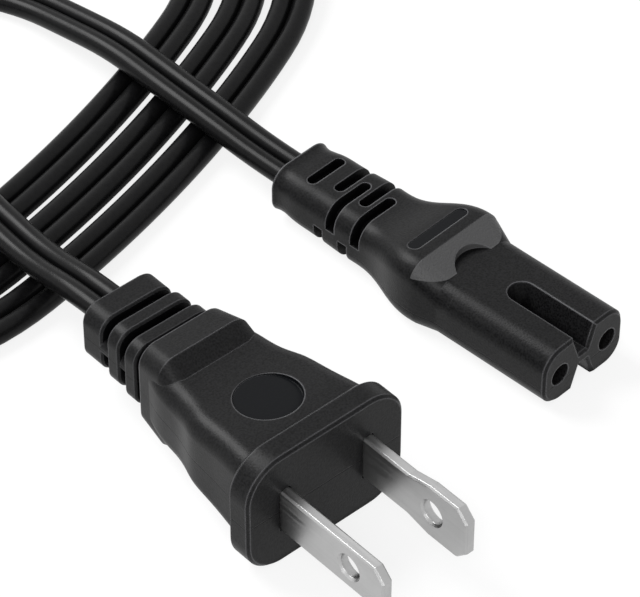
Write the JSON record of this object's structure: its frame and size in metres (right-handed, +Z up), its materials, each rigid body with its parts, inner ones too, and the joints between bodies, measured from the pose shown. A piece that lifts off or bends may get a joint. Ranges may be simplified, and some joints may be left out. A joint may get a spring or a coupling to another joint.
{
  "type": "power cord with figure eight connector",
  "caption": "Flat two-core mains cord, loosely coiled, with a moulded figure eight connector and a moulded polarised two-blade plug.",
  "frame": {"origin": "bottom centre of the figure eight connector, on the surface that everything lies on", "axes": "+Y from the connector's open face towards its cord, +X to the right seen from its cord, +Z up"},
  "size_m": [0.1262, 0.1586, 0.017],
  "materials": {
    "connector_moulding": "fine matt texture",
    "plug_moulding": "fine matt texture",
    "cord_sheath": "smooth, satin",
    "insulation": "smooth, satin",
    "insert_plastic": "natural, smooth",
    "contact_metal": "bare phosphor bronze, brushed",
    "blade_metal": "satin nickel plating",
    "copper": "bare stranded copper"
  },
  "bodies": {
    "root": {"connector_shell": "connector_moulding", "connector_insert": "insert_plastic", "socket_contact_left": "contact_metal", "socket_contact_right": "contact_metal", "connector_lead_left": "insulation", "connector_lead_right": "insulation", "connector_strands_left": "copper", "connector_strands_right": "copper", "cord_to_connector": "cord_sheath", "cord_coil": "cord_sheath", "cord_to_plug": "cord_sheath", "plug_shell": "plug_moulding", "plug_insert": "insert_plastic", "blade_narrow": "blade_metal", "blade_wide": "blade_metal", "plug_lead_left": "insulation", "plug_lead_right": "insulation", "plug_strands_left": "copper", "plug_strands_right": "copper"}
  },
  "joints": []
}
